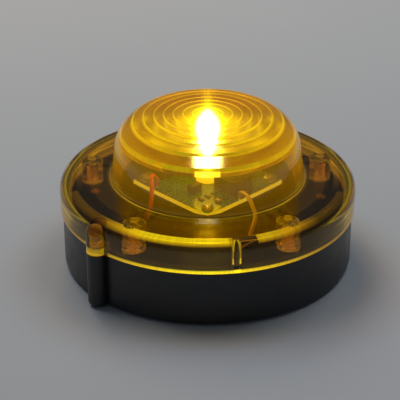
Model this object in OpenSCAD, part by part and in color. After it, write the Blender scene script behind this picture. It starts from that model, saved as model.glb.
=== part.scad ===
// Battery-powered LED road flare: a twist-off amber lens unit on a black magnetic base.
// Millimetres, +Z up, origin on the floor at the centre of the base. The front is -Y.

/* [Lens] */
// Outer diameter of the lens wall
lens_d = 100; // [88:1:120]
// Thickness of the lens wall and flange
lens_wall = 2.6; // [1.8:0.1:3.2]
// Height of the flange's top above the lens's lower edge
flange_h = 10.9; // [9.5:0.1:16]
// Radius of the flange's outer shoulder
shoulder_r = 4; // [2:0.5:6]
// Diameter of the dome where it meets the flange
dome_foot_d = 65.2; // [60:0.2:70]
// How much narrower the dome is at its own shoulder
dome_draft = 2.1; // [0:0.1:4]
// Height of the dome above the flange
dome_h = 22.9; // [18:0.1:30]
// Radius of the dome's round shoulder
dome_corner_r = 14.3; // [8:0.1:16]
// Rise of the shallow cap over the dome's shoulder
cap_rise = 0.5; // [0.3:0.1:2]
// Number of stepped rings moulded inside the cap
ring_count = 9; // [4:1:11]
// Radius of the innermost ring
ring_first_r = 1.6; // [1:0.1:3]
// Radial pitch of the rings
ring_pitch = 3.2; // [2:0.1:3.6]
// Step of the innermost ring
ring_step = 0.3; // [0.2:0.05:0.5]
// How much deeper each next ring's step is
ring_step_gain = 0.11; // [0:0.01:0.12]
// Number of screw posts under the flange
post_count = 5; // [3:1:5]
// Bearing of the first post from the front, towards +X
post_bearing = -34; // [-36:1:-30]
// Diameter of a screw post
post_d = 7.4; // [6:0.1:8]
// Radius of the half-round index lug, half on the lens and half on the base
lug_r = 3.4; // [2.5:0.1:4.5]
// Bearing of the index lug from the front, towards +X
lug_bearing = -45; // [-48:1:-44]

/* [Base] */
// Radial step from the lens wall in to the base wall
base_step = 0.8; // [0.3:0.1:1.5]
// Thickness of the base wall
base_wall = 1.9; // [1.5:0.1:2.4]
// Thickness of the base floor
base_floor = 2.2; // [1.8:0.1:3]
// How far the rubber foot stands below the base
foot_proud = 0.6; // [0.4:0.1:1.2]
// Radial width of the rubber foot
foot_w = 5; // [3:0.5:7]
// Gap between the base rim and the lens
seam_gap = 0.2; // [0.1:0.05:0.4]

/* [Magnet] */
// Diameter of the magnet disc
magnet_d = 32.6; // [24:0.2:39.2]
// Thickness of the magnet disc
magnet_h = 3.5; // [2.5:0.1:5]
// Wall of the steel cup round the magnet
cup_wall = 1.5; // [1:0.1:2]

/* [Batteries] */
// Diameter of a battery cell
cell_d = 10.5; // [9.5:0.1:12.6]
// Length of a battery cell with its nub
cell_l = 44.5; // [37:0.5:53.5]
// Gap between neighbouring cells
cell_gap = 0.6; // [0.3:0.1:1]
// Length that a fitted contact spring takes
spring_l = 4.2; // [3:0.1:5]

/* [Deck and board] */
// Thickness of the deck
deck_t = 2; // [1.6:0.1:2.6]
// Height of the pillars that carry the circuit board
pillar_h = 5.8; // [4:0.1:7]
// Side of the square circuit board
board_side = 36; // [34:0.2:43.2]
// Thickness of the circuit board
board_t = 1.6; // [0.8:0.2:1.6]
// Diameter of the round LED
led_d = 8; // [5:0.5:10]
// Height of the LED's epoxy body
led_h = 11; // [9:0.5:12.5]
// Air between the top of the LED and the lens
led_air = 2.5; // [1.5:0.1:4]
// Outer diameter of the insulated wires
wire_d = 1.4; // [1:0.1:1.6]

/* [Hidden] */
$fn = 96;

// Small amount by which cuts pass through a face.
cut = 1;
// Clearance between pieces that only sit in one another.
seat_gap = 0.1;
// Clearance of a screw in the hole that it cuts its thread in, and in a plain hole.
thread_gap = 0.02;
plain_gap = 0.25;

// Screws: shank radius, head radius and head height.
lens_screw = [1.2, 2.5, 1.5];
board_screw = [0.85, 2, 1.3];
retainer_screw = [0.95, 2.1, 0.8];
tray_screw = [0.95, 2.2, 1.3];

// Magnet and its steel cup, from the floor upwards.
cup_z = 0.2;
cup_back = 1.5;
cup_flange_w = 3;
cup_flange_t = 2;
cup_r = magnet_d / 2 + seat_gap + cup_wall;
cup_top = cup_z + magnet_h + cup_back;
cup_flange_z = cup_top - cup_flange_t;
retainer_t = cup_flange_z - foot_proud - seat_gap;
retainer_w = 6.4;
retainer_in_r = cup_r + 0.2;
retainer_out_r = cup_r + cup_flange_w + retainer_w;
retainer_z = foot_proud + 0.1;
retainer_screw_at = cup_r + cup_flange_w + retainer_w / 2;
retainer_bearings = [0, 120, 240];
retainer_screw_bite = 2.9;
pocket_z = retainer_z + retainer_t;
island_roof = 1.5;
island_top = cup_top + seat_gap + island_roof;
island_r = retainer_out_r + 1.9;

// Battery stack, which sets the height of the deck and of the seam.
tray_floor = 0.8;
tray_wall = 1.2;
cell_pitch = cell_d + cell_gap;
cell_z = island_top + tray_floor + cell_d / 2;
cell_top = cell_z + cell_d / 2;
plate_t = 0.3;
contact_gap = 0.05;
tray_half_x = (cell_l + spring_l) / 2 + plate_t + contact_gap;
tray_half_y = 1.5 * cell_pitch;
tray_top = cell_z + 2.15;
nub_r = 1.9;
nub_l = 1.2;

// Base shell and deck.
base_r = lens_d / 2 - base_step;
base_in_r = base_r - base_wall;
deck_drop = 1.2;
deck_z = cell_top + 0.5;
deck_top = deck_z + deck_t;
rim_z = deck_top - deck_drop;
running_gap = 0.3;
deck_r = base_in_r - running_gap;
skirt_wall = 1;
skirt_in_r = deck_r - 2.2;
seal_section = 1.6;
seal_z = deck_z - 2.1;
seal_out_r = base_in_r - 0.05;
seal_land_z = seal_z - seal_section / 2 - 1.1;
bayonet_t = 1.8;
bayonet_z = seal_land_z - 2.8;
bayonet_gap = 0.3;
skirt_z = bayonet_z - bayonet_gap - bayonet_t;
bayonet_bite_r = (skirt_in_r + skirt_wall + running_gap);
bayonet_bearings = [60, 180, 300];
ledge_span = 36;
stop_span = 3;
ledge_lug_span = 34;

// Lens.
lens_r = lens_d / 2;
lens_in_r = lens_r - lens_wall;
lens_z = rim_z + seam_gap;
flange_z = lens_z + flange_h;
flange_under = flange_z - lens_wall + 0.2;
foot_fillet = 1.5;
dome_r = dome_foot_d / 2;
dome_top_r = dome_r - dome_draft / 2;
corner_z = flange_z + dome_h - dome_corner_r - cap_rise;
corner_at = dome_top_r - dome_corner_r;
total_h = flange_z + dome_h;
cap_r = (corner_at ^ 2 + (dome_corner_r + cap_rise) ^ 2 - dome_corner_r ^ 2) / (2 * cap_rise);
cap_z = total_h - cap_r;
cap_angle = atan2(corner_z - cap_z, corner_at);
dome_wall = 2.4;
inner_corner_r = dome_corner_r - dome_wall;
ring_lead = 1.2;
lug_at = lens_r;
lug_top = flange_z - 1;
key_bearing = 11;
key_w = 3;
key_depth = 1.6;
post_at = skirt_in_r - lens_screw[1] - 0.8;
post_screw_bite = 5.2;
post_bearings = [for (i = [0:post_count - 1]) post_bearing + i * 360 / post_count];

// Circuit board: its corners point to the front, the sides and the back.
board_turn = 45;
board_z = deck_top + pillar_h;
board_top = board_z + board_t;
board_inset = 3.2;
board_hole_at = board_side / 2 - board_inset;
board_screw_bite = 3.8;
pillar_r = 2.75;
led_z = dome_surface(0, dome_wall) - ring_step - led_air - led_h;
led_spacer_h = led_z - board_top;
led_flange_t = 1;

// Terminals under the deck, on the line of the outer cells.
terminal_at = 36;
terminal_turn = asin(cell_pitch / terminal_at);
terminal_x = terminal_at * cos(terminal_turn);
terminal_w = 5;
terminal_z = tray_top + plate_t;
ear_out_x = terminal_x + 3.8;
leaf_t = 0.3;
leaf_w = 4.6;
leaf_l = 16;

// Wire routes: from a solder pad on the board, down through the deck, to a leaf contact.
wire_r = wire_d / 2;
wire_hole_r = wire_r + 1.1;
wire_start = board_top + 0.25;
under_deck = deck_z - wire_r - 0.15;
positive_hole = [-20.4, -17];
negative_hole = [11.5, -35.5];
positive_route = [[-17.3, -4.6, wire_start], [-17.3, -4.6, board_top + 2.4], [-18.6, -8, board_top + 4.8],
    [-18.2, -12.4, board_top + 1.2], [-18.8, -15.6, board_top - 3.4], [-20, -16.6, deck_top + 0.4],
    [-20, -16.6, deck_z + 0.8], [-21.4, -18.4, under_deck], [-25, -23.4, under_deck],
    [-27.6, -26, under_deck]];
negative_route = [[10.8, -13.6, wire_start], [10.8, -13.6, board_top + 2], [13.2, -18, board_top + 2.4],
    [15.4, -25, board_top - 2], [13.8, -32, board_top - 4.6], [11.4, -35.3, deck_top + 0.6],
    [11.2, -35.3, deck_z + 0.8], [13.2, -34.8, under_deck], [22.4, -28.6, under_deck],
    [31.6, -18, under_deck], [36.4, -8, under_deck], [37.6, -6, under_deck]];

// ---- Helpers ----

function arc_points(x, y, r, from, to, steps) =
    [for (i = [0:steps]) let (a = from + (to - from) * i / steps) [x + r * cos(a), y + r * sin(a)]];

// Height of the dome's outer surface at a radius, or of the surface that lies a wall inside it.
function dome_surface(r, wall) =
    r <= corner_at + dome_corner_r * cos(cap_angle) && wall == 0 || r <= corner_at
        ? cap_z + sqrt((cap_r - wall) ^ 2 - r ^ 2)
        : corner_z + sqrt((dome_corner_r - wall) ^ 2 - (r - corner_at) ^ 2);

// A point at a radius and a bearing from the front, towards +X.
function at_bearing(r, bearing) = [r * sin(bearing), -r * cos(bearing), 0];

module copies_at(r, bearings) {
    for (b = bearings) {
        translate(at_bearing(r, b)) rotate([0, 0, b]) children();
    }
}

module ring(out_r, in_r, h) {
    difference() {
        cylinder(r = out_r, h = h);
        translate([0, 0, -cut]) cylinder(r = in_r, h = h + 2 * cut);
    }
}

// A block of a ring between two radii, centred on a bearing.
module ring_sector(out_r, in_r, h, bearing, span) {
    rotate([0, 0, bearing - 90 - span / 2])
        rotate_extrude(angle = span)
            translate([in_r, 0]) square([out_r - in_r, h]);
}

function unit(v) = v / norm(v);
function on_curve(p, i, t) = let (
        a = p[max(i - 1, 0)], b = p[i], c = p[i + 1], d = p[min(i + 2, len(p) - 1)])
    0.5 * (2 * b + (c - a) * t + (2 * a - 5 * b + 4 * c - d) * t ^ 2 + (3 * b - a - 3 * c + d) * t ^ 3);

// A smooth path through a route's points.
function smooth_path(p, steps) = [
    for (i = [0:len(p) - 2]) for (s = [0:steps - 1]) on_curve(p, i, s / steps), p[len(p) - 1]];
function tangents(p) = [
    for (i = [0:len(p) - 1]) unit(p[min(i + 1, len(p) - 1)] - p[max(i - 1, 0)])];
function turned(n, t) = unit(n - (n * t) * t);

// A round wire of a radius along a path, as one closed solid.
module wire_along(path, r, sides, first_side) {
    t = tangents(path);
    last = len(path) - 1;
    n = [for (i = 0, v = turned(first_side, t[0]); i <= last; i = i + 1, v = turned(v, t[min(i, last)])) v];
    points = [for (i = [0:last]) let (b = cross(t[i], n[i])) for (k = [0:sides - 1])
        path[i] + r * (cos(360 * k / sides) * n[i] + sin(360 * k / sides) * b)];
    skin = [for (i = [0:last - 1]) for (k = [0:sides - 1]) let (k2 = (k + 1) % sides)
        [i * sides + k, (i + 1) * sides + k, (i + 1) * sides + k2, i * sides + k2]];
    caps = [[for (k = [0:sides - 1]) k], [for (k = [sides - 1:-1:0]) last * sides + k]];
    polyhedron(points = points, faces = concat(skin, caps), convexity = 6);
}

// A pan-head screw that points up from z = 0, where its head bears, with a cross recess.
module screw(sizes, shank_l) {
    head_r = sizes[1];
    head_h = sizes[2];
    difference() {
        union() {
            cylinder(r = sizes[0], h = shank_l, $fn = 32);
            translate([0, 0, -head_h]) cylinder(r1 = head_r * 0.8, r2 = head_r, h = head_h, $fn = 48);
        }
        for (a = [0, 90]) {
            rotate([0, 0, a]) translate([0, 0, -head_h + 0.3]) cube([head_r * 1.1, 0.6, 1.2], center = true);
        }
    }
}

module screw_hole(sizes, depth) {
    translate([0, 0, -cut]) cylinder(r = sizes[0] + thread_gap, h = depth + cut, $fn = 32);
}

// ---- Lens unit: everything that turns with the lens ----

lens_outline = concat(
    [[0, lens_z], [lens_r, lens_z]],
    arc_points(lens_r - shoulder_r, flange_z - shoulder_r, shoulder_r, 0, 90, 10),
    arc_points(dome_r + foot_fillet, flange_z + foot_fillet, foot_fillet, 270, 180, 6),
    arc_points(corner_at, corner_z, dome_corner_r, 0, cap_angle, 24),
    [for (i = [7:-1:1]) let (r = corner_at * i / 8) [r, dome_surface(r, 0)]],
    [[0, total_h]]);

function ring_r(i) = ring_first_r + i * ring_pitch;
function ring_depth(i) = ring_step + i * ring_step_gain;

// Inside of the lens: each ring is a sloped facet that ends in a step at the ring's radius.
cavity_outline = concat(
    [[0, lens_z - cut], [lens_in_r, lens_z - cut]],
    arc_points(lens_in_r - 1.6, flange_under - 1.6, 1.6, 0, 90, 6),
    arc_points(dome_r - dome_wall + 1, flange_under + 1, 1, 270, 180, 6),
    arc_points(corner_at, corner_z, inner_corner_r, 0,
        acos((ring_r(ring_count - 1) + ring_lead - corner_at) / inner_corner_r), 8),
    [for (i = [ring_count - 1:-1:0])
        let (nominal = dome_surface(ring_r(i), dome_wall))
            each [[ring_r(i), nominal - ring_depth(i)], [ring_r(i), nominal]]],
    [[0, dome_surface(0, dome_wall) - ring_step]]);

// Upper half of the index lug, with a domed top.
module lens_lug() {
    translate(at_bearing(lug_at, lug_bearing)) {
        translate([0, 0, lens_z]) cylinder(r = lug_r, h = lug_top - lug_r - lens_z, $fn = 48);
        translate([0, 0, lug_top - lug_r]) sphere(r = lug_r, $fn = 48);
    }
}

module lens() {
    color([1, 0.66, 0.08, 0.55]) {
        difference() {
            union() {
                rotate_extrude($fn = 180) polygon(lens_outline);
                lens_lug();
            }
            rotate_extrude($fn = 180) polygon(cavity_outline);
        }
        copies_at(post_at, post_bearings) {
            difference() {
                translate([0, 0, deck_top])
                    cylinder(r = post_d / 2, h = flange_under - deck_top + 0.5, $fn = 48);
                translate([0, 0, deck_top]) screw_hole(lens_screw, post_screw_bite + 1);
            }
        }
        rotate([0, 0, key_bearing])
            translate([-key_w / 2, -lens_in_r - 0.5, lens_z + 0.4])
                cube([key_w, key_depth + 0.5, flange_under - lens_z]);
    }
}

module deck() {
    color([0.05, 0.05, 0.055])
    difference() {
        union() {
            translate([0, 0, deck_z]) cylinder(r = deck_r, h = deck_t);
            translate([0, 0, seal_land_z]) ring(deck_r, skirt_in_r, deck_z - seal_land_z + 0.5);
            translate([0, 0, skirt_z]) ring(skirt_in_r + skirt_wall, skirt_in_r, seal_land_z - skirt_z + 0.5);
            for (b = bayonet_bearings) {
                translate([0, 0, skirt_z])
                    ring_sector(deck_r, skirt_in_r + skirt_wall / 2, bayonet_t, b, ledge_lug_span);
            }
            for (a = [0, 90, 180, 270]) {
                rotate([0, 0, a]) translate([board_hole_at * sqrt(2), 0, deck_top - 0.5])
                    cylinder(r = pillar_r, h = pillar_h + 0.5, $fn = 40);
            }
        }
        translate([0, 0, seal_z - seal_section / 2 - 0.1])
            ring(deck_r + cut, seal_out_r - seal_section, seal_section + 0.2);
        copies_at(post_at, post_bearings) translate([0, 0, deck_z - cut])
            cylinder(r = lens_screw[0] + plain_gap, h = deck_t + 2 * cut, $fn = 32);
        for (x = [-1, 1]) for (y = [-1, 1]) {
            on_board(x * board_hole_at, y * board_hole_at) translate([0, 0, -board_t]) rotate([180, 0, 0])
                screw_hole(board_screw, board_screw_bite + 0.8);
        }
        rotate([0, 0, key_bearing])
            translate([-key_w / 2 - running_gap, -deck_r - cut, deck_z + deck_t - deck_drop - 0.6])
                cube([key_w + 2 * running_gap, deck_r - lens_in_r + key_depth + cut + running_gap, 5]);
        for (h = [positive_hole, negative_hole]) {
            translate([h.x, h.y, deck_z - cut]) cylinder(r = wire_hole_r, h = deck_t + 2 * cut, $fn = 32);
        }
        for (s = [0, 180]) {
            rotate([0, 0, s]) leaf_frame() translate([leaf_l - 2.6, 0, deck_z - cut])
                cylinder(r = 0.9, h = deck_t + 2 * cut, $fn = 24);
        }
    }
}

module seal_ring() {
    color([0.08, 0.08, 0.08]) translate([0, 0, seal_z]) rotate_extrude($fn = 180)
        translate([seal_out_r - seal_section / 2, 0]) circle(r = seal_section / 2, $fn = 32);
}

module lens_screws() {
    color("silver") copies_at(post_at, post_bearings)
        translate([0, 0, deck_z]) screw(lens_screw, deck_t + post_screw_bite);
}

// Places children on the board, in the board's own directions.
module on_board(x, y) {
    rotate([0, 0, board_turn]) translate([x, y, board_top]) children();
}

module circuit_board() {
    color([0.1, 0.42, 0.14]) difference() {
        rotate([0, 0, board_turn]) translate([-board_side / 2, -board_side / 2, board_z])
            cube([board_side, board_side, board_t]);
        for (x = [-1, 1]) for (y = [-1, 1]) {
            on_board(x * board_hole_at, y * board_hole_at)
                translate([0, 0, -board_t - cut])
                    cylinder(r = board_screw[0] + plain_gap, h = board_t + 2 * cut, $fn = 32);
        }
        for (x = [-1.27, 1.27]) {
            translate([x, 0, board_z - cut]) cylinder(r = 0.45, h = board_t + 2 * cut, $fn = 24);
        }
    }
}

module board_screws() {
    color("silver") for (x = [-1, 1]) for (y = [-1, 1]) {
        on_board(x * board_hole_at, y * board_hole_at) rotate([180, 0, 0])
            screw(board_screw, board_t + board_screw_bite);
    }
}

module led_spacer() {
    color("white") translate([0, 0, board_top]) difference() {
        cylinder(r = led_d / 2, h = led_spacer_h, $fn = 48);
        for (x = [-1.27, 1.27]) {
            translate([x, 0, -cut]) cylinder(r = 0.45, h = led_spacer_h + 2 * cut, $fn = 24);
        }
    }
}

module main_led() {
    r = led_d / 2;
    color([1, 0.9, 0.55]) translate([0, 0, led_z]) difference() {
        union() {
            cylinder(r = r + 0.6, h = led_flange_t, $fn = 64);
            cylinder(r = r, h = led_h - r, $fn = 64);
            translate([0, 0, led_h - r]) sphere(r = r, $fn = 64);
        }
        translate([0, 0, -r - cut]) cylinder(r = r + cut, h = r + cut, $fn = 64);
        for (x = [-1.27, 1.27]) {
            translate([x - 0.35, -0.35, -cut]) cube([0.7, 0.7, 4.1 + cut]);
        }
    }
}

module led_leads() {
    color("silver") for (x = [-1.27, 1.27]) {
        translate([x - 0.25, -0.25, board_z - 1]) cube([0.5, 0.5, led_z + 4 - board_z + 1]);
    }
}

module storage_capacitor() {
    color([0.12, 0.1, 0.16]) on_board(-5, 12) translate([-7, 0, 4.1]) rotate([0, 90, 0]) {
        difference() {
            cylinder(r = 4, h = 14, $fn = 48);
            translate([0, 0, 1.6]) ring(5, 3.8, 0.6);
        }
        translate([0, 0, 14]) cylinder(r = 1, h = 0.3, $fn = 24);
    }
}

module boost_inductor() {
    color([0.1, 0.1, 0.1]) on_board(1.2, -11) {
        difference() {
            translate([-4.6, -4.6, 0]) cube([9.2, 9.2, 5]);
            translate([0, 0, 4.6]) ring(4.2, 3.4, 1);
        }
    }
}

module driver_chip() {
    color([0.08, 0.08, 0.08]) on_board(9.5, 8) {
        difference() {
            translate([-2.5, -2, 0.2]) cube([5, 4, 1.5]);
            translate([-1.9, -1.3, 1.5]) cylinder(r = 0.3, h = 1, $fn = 24);
        }
        for (x = [-1.9:1.27:1.95]) for (y = [-1, 1]) {
            translate([x - 0.2, y * 2.35 - 0.45, 0]) cube([0.4, 0.9, 0.35]);
        }
    }
}

module flyback_diode() {
    color([0.1, 0.1, 0.1]) on_board(-9, -3) {
        translate([-2.2, -1.3, 0.1]) cube([4.4, 2.6, 2.1]);
        translate([-2.6, -0.8, 0]) cube([5.2, 1.6, 0.4]);
    }
}

module timing_crystal() {
    color("silver") on_board(11, -9) hull() {
        for (x = [-1.6, 1.6]) translate([x, 0, 0]) cylinder(r = 1.2, h = 4, $fn = 24);
    }
}

module chip_parts(places, size) {
    for (p = places) {
        on_board(p.x, p.y) translate([-size.x / 2, -size.y / 2, 0]) cube(size);
    }
}

module chip_resistors() {
    color([0.12, 0.12, 0.12]) chip_parts([[-6, -9], [-9, -9], [-12, -9], [-6, -14], [6, 13.6], [9, 13.6]],
        [1.25, 2, 0.5]);
}

module chip_capacitors() {
    color([0.6, 0.48, 0.34]) chip_parts([[-9, -14], [5.6, 10], [14.6, 4], [14.6, 7]], [1.3, 2, 0.9]);
}

module positive_wire() {
    color("red") wire_along(smooth_path(positive_route, 4), wire_r, 10, [1, -1, 0]);
}

module negative_wire() {
    color("ivory") wire_along(smooth_path(negative_route, 4), wire_r, 10, [1, 0, 0]);
}

// The right-hand terminal's place: +X of the frame runs along the leaf, away from its contact.
module leaf_frame() {
    rotate([0, 0, terminal_turn]) translate([terminal_at, 0, 0]) rotate([0, 0, -90]) children();
}

// A sprung strip under the deck that dips to touch a terminal.
module leaf() {
    low = terminal_z + contact_gap;
    top = deck_z - leaf_t;
    line = [[leaf_l, top], [8.4, top], [1.4, low], [-1, low], [-3, low + 1.2]];
    leaf_frame() translate([0, leaf_w / 2, 0]) rotate([90, 0, 0]) linear_extrude(leaf_w)
        difference() {
            polygon(concat(line, [for (i = [4:-1:0]) line[i] + [0, leaf_t]]));
            translate([leaf_l - 0.4, 0]) square([1, 0.1]);
        }
}

module leaf_with_hole() {
    difference() {
        leaf();
        leaf_frame() translate([leaf_l - 2.6, 0, deck_z - 2]) cylinder(r = 0.9, h = 4, $fn = 24);
    }
}

module negative_leaf() {
    color([0.85, 0.7, 0.4]) leaf_with_hole();
}

module positive_leaf() {
    color([0.85, 0.7, 0.4]) rotate([0, 0, 180]) leaf_with_hole();
}

module leaf_rivets() {
    color([0.8, 0.66, 0.35]) for (s = [0, 180]) {
        rotate([0, 0, s]) leaf_frame() translate([leaf_l - 2.6, 0, 0]) {
            translate([0, 0, deck_z - leaf_t - 0.6]) cylinder(r = 1.6, h = 0.6, $fn = 32);
            translate([0, 0, deck_z - leaf_t - 0.1]) cylinder(r = 0.85, h = deck_t + leaf_t + 0.2, $fn = 24);
            translate([0, 0, deck_top]) cylinder(r = 1.6, h = 0.5, $fn = 32);
        }
    }
}

// ---- Base unit: everything that stays on the road ----

foot_out_r = base_r - 3.2;
foot_in_r = foot_out_r - foot_w;
foot_seat = 1;
tray_screw_y = tray_half_y + 5.2;
tray_ear_t = 2;
tray_screw_bite = 4;

base_edge_r = 1.2;

// Half outline of a round solid from the base's underside to its rim, with a rounded lower edge.
function rounded_side(r) = concat(
    [[0, foot_proud]],
    arc_points(r - base_edge_r, foot_proud + base_edge_r, base_edge_r, 270, 360, 6),
    [[r, rim_z], [0, rim_z]]);

module base_shell() {
    color([0.06, 0.06, 0.065])
    difference() {
        union() {
            difference() {
                union() {
                    rotate_extrude($fn = 180) polygon(rounded_side(base_r));
                    translate(at_bearing(lug_at, lug_bearing)) rotate_extrude($fn = 48)
                        polygon(rounded_side(lug_r));
                }
                translate([0, 0, foot_proud + base_floor]) cylinder(r = base_in_r, h = rim_z, $fn = 180);
            }
            translate([0, 0, foot_proud + base_floor - 0.5])
                cylinder(r = island_r, h = island_top - foot_proud - base_floor + 0.5);
            for (b = bayonet_bearings) {
                translate([0, 0, bayonet_z])
                    ring_sector(base_in_r + 0.5, bayonet_bite_r, bayonet_t, b, ledge_span);
                translate([0, 0, skirt_z])
                    ring_sector(base_in_r + 0.5, bayonet_bite_r, bayonet_z - skirt_z + bayonet_t,
                        b - (ledge_span + stop_span) / 2 - 0.1, stop_span);
            }
            for (s = [-1, 1]) {
                translate([0, s * tray_screw_y, foot_proud + base_floor - 0.5])
                    cylinder(r = 3, h = tray_top - tray_ear_t - foot_proud - base_floor + 0.5, $fn = 48);
            }
        }
        translate([0, 0, foot_proud - cut]) ring(foot_out_r, foot_in_r, foot_seat + cut);
        translate([0, 0, -cut]) cylinder(r = retainer_out_r + seat_gap, h = pocket_z + cut);
        translate([0, 0, -cut]) cylinder(r = cup_r + cup_flange_w + seat_gap, h = cup_top + seat_gap + cut);
        copies_at(retainer_screw_at, retainer_bearings) translate([0, 0, pocket_z])
            screw_hole(retainer_screw, retainer_screw_bite + 0.3);
        for (s = [-1, 1]) {
            translate([0, s * tray_screw_y, tray_top - tray_ear_t]) rotate([180, 0, 0])
                screw_hole(tray_screw, tray_screw_bite + 1);
        }
    }
}

module foot_ring() {
    color([0.03, 0.03, 0.03]) ring(foot_out_r - seat_gap, foot_in_r + seat_gap, foot_proud + foot_seat);
}

module magnet() {
    color([0.35, 0.35, 0.37]) translate([0, 0, cup_z]) cylinder(r = magnet_d / 2, h = magnet_h, $fn = 120);
}

module magnet_cup() {
    color("silver") difference() {
        union() {
            translate([0, 0, cup_z]) cylinder(r = cup_r, h = cup_top - cup_z, $fn = 120);
            translate([0, 0, cup_flange_z]) cylinder(r = cup_r + cup_flange_w, h = cup_flange_t, $fn = 120);
        }
        translate([0, 0, cup_z - cut]) cylinder(r = magnet_d / 2 + seat_gap, h = magnet_h + cut, $fn = 120);
    }
}

module magnet_retainer() {
    color([0.07, 0.07, 0.07]) translate([0, 0, retainer_z]) difference() {
        ring(retainer_out_r, retainer_in_r, retainer_t);
        copies_at(retainer_screw_at, retainer_bearings) translate([0, 0, -cut]) {
            cylinder(r = retainer_screw[0] + plain_gap, h = retainer_t + 2 * cut, $fn = 24);
            cylinder(r = retainer_screw[1] + seat_gap, h = retainer_screw[2] + seat_gap + cut, $fn = 32);
        }
    }
}

module retainer_screws() {
    head_seat = retainer_screw[2] + seat_gap;
    color("silver") copies_at(retainer_screw_at, retainer_bearings)
        translate([0, 0, retainer_z + head_seat])
            screw(retainer_screw, retainer_t - head_seat + retainer_screw_bite);
}

module battery_tray() {
    out_x = tray_half_x + tray_wall;
    out_y = tray_half_y + tray_wall;
    ear_r = 3.2;
    color([0.13, 0.13, 0.14]) difference() {
        union() {
            translate([-out_x, -out_y, island_top]) cube([2 * out_x, 2 * out_y, tray_top - island_top]);
            for (s = [0, 180]) {
                rotate([0, 0, s]) translate([out_x - 0.5, cell_pitch - ear_r, tray_top - tray_ear_t])
                    cube([ear_out_x - out_x + 0.5, 2 * ear_r, tray_ear_t]);
                rotate([0, 0, s]) translate([ear_out_x - 2, cell_pitch - ear_r, foot_proud + base_floor])
                    cube([2, 2 * ear_r, tray_top - foot_proud - base_floor]);
            }
            for (s = [-1, 1]) {
                translate([0, s * tray_screw_y, tray_top - tray_ear_t])
                    cylinder(r = ear_r, h = tray_ear_t, $fn = 48);
                translate([-ear_r, min(s * tray_screw_y, s * (out_y - 0.5)), tray_top - tray_ear_t])
                    cube([2 * ear_r, tray_screw_y - out_y + 0.5, tray_ear_t]);
            }
        }
        translate([-tray_half_x, -tray_half_y, island_top + tray_floor + cell_d / 2])
            cube([2 * tray_half_x, 2 * tray_half_y, cell_d]);
        for (i = [-1:1]) {
            translate([-tray_half_x, i * cell_pitch, cell_z]) rotate([0, 90, 0])
                cylinder(r = cell_d / 2 + seat_gap, h = 2 * tray_half_x, $fn = 64);
        }
        for (s = [-1, 1]) {
            translate([s * (tray_half_x - 0.9) - 0.9, -tray_half_y, cell_z - 3.6])
                cube([1.8, 2 * tray_half_y, cell_d]);
            translate([0, s * tray_screw_y, island_top])
                cylinder(r = tray_screw[0] + plain_gap, h = tray_top, $fn = 24);
        }
    }
}

module tray_screws() {
    color("silver") for (s = [-1, 1]) {
        translate([0, s * tray_screw_y, tray_top]) rotate([180, 0, 0])
            screw(tray_screw, tray_ear_t + tray_screw_bite);
    }
}

// A cell on a line of the tray, with its nub at one end: side is -1 for the left end.
module cell(line, side) {
    translate([0, line * cell_pitch, cell_z]) mirror([side < 0 ? 1 : 0, 0, 0])
        translate([tray_half_x - plate_t - contact_gap - cell_l, 0, 0]) rotate([0, 90, 0]) {
            cylinder(r = cell_d / 2, h = cell_l - nub_l, $fn = 64);
            translate([0, 0, cell_l - nub_l]) cylinder(r = nub_r, h = nub_l, $fn = 32);
        }
}

module battery_1() {
    color([0.2, 0.35, 0.5]) cell(-1, -1);
}

module battery_2() {
    color([0.2, 0.35, 0.5]) cell(0, 1);
}

module battery_3() {
    color([0.2, 0.35, 0.5]) cell(1, -1);
}

// A tapered coil between an end plate and the flat end of a cell.
module contact_spring(line, side) {
    wire = 0.3;
    turns = 3;
    steps = 14;
    gap = spring_l - 2 * wire - 0.1;
    path = [for (i = [0:turns * steps]) let (s = i / (turns * steps), r = 3.8 - 1.4 * s)
        [gap * s, r * cos(360 * turns * s), r * sin(360 * turns * s)]];
    color("silver") translate([0, line * cell_pitch, cell_z]) mirror([side > 0 ? 1 : 0, 0, 0])
        translate([-tray_half_x + plate_t + wire + 0.05, 0, 0]) wire_along(path, wire, 8, [0, 1, 0]);
}

module contact_spring_1() {
    contact_spring(-1, 1);
}

module contact_spring_2() {
    contact_spring(0, -1);
}

module contact_spring_3() {
    contact_spring(1, 1);
}

// A flat plate at an end of the tray, across some of its lines.
module end_plate(side, from_line, to_line) {
    y = from_line * cell_pitch - 3.6;
    translate([side > 0 ? tray_half_x - plate_t : -tray_half_x, y, cell_z - 3.5])
        cube([plate_t, (to_line - from_line) * cell_pitch + 7.2, 5.6]);
}

module left_contact_link() {
    color("silver") end_plate(-1, 0, 1);
}

module right_contact_link() {
    color("silver") end_plate(1, -1, 0);
}

// An end plate that folds over the tray's wall to a pad for a leaf.
module terminal() {
    union() {
        end_plate(1, 1, 1);
        translate([tray_half_x - plate_t, cell_pitch - terminal_w / 2, cell_z])
            cube([plate_t, terminal_w, terminal_z - cell_z]);
        translate([tray_half_x - plate_t, cell_pitch - terminal_w / 2, tray_top])
            cube([ear_out_x - tray_half_x, terminal_w, plate_t]);
    }
}

module negative_terminal() {
    color("silver") terminal();
}

module positive_terminal() {
    color("silver") rotate([0, 0, 180]) terminal();
}

lens();
deck();
seal_ring();
lens_screws();
circuit_board();
board_screws();
led_spacer();
main_led();
led_leads();
storage_capacitor();
boost_inductor();
driver_chip();
flyback_diode();
timing_crystal();
chip_resistors();
chip_capacitors();
positive_wire();
negative_wire();
positive_leaf();
negative_leaf();
leaf_rivets();
base_shell();
foot_ring();
magnet();
magnet_cup();
magnet_retainer();
retainer_screws();
battery_tray();
tray_screws();
battery_1();
battery_2();
battery_3();
contact_spring_1();
contact_spring_2();
contact_spring_3();
left_contact_link();
right_contact_link();
positive_terminal();
negative_terminal();
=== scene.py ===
import math

import bmesh
import bpy
from mathutils import Matrix, Vector


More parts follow.
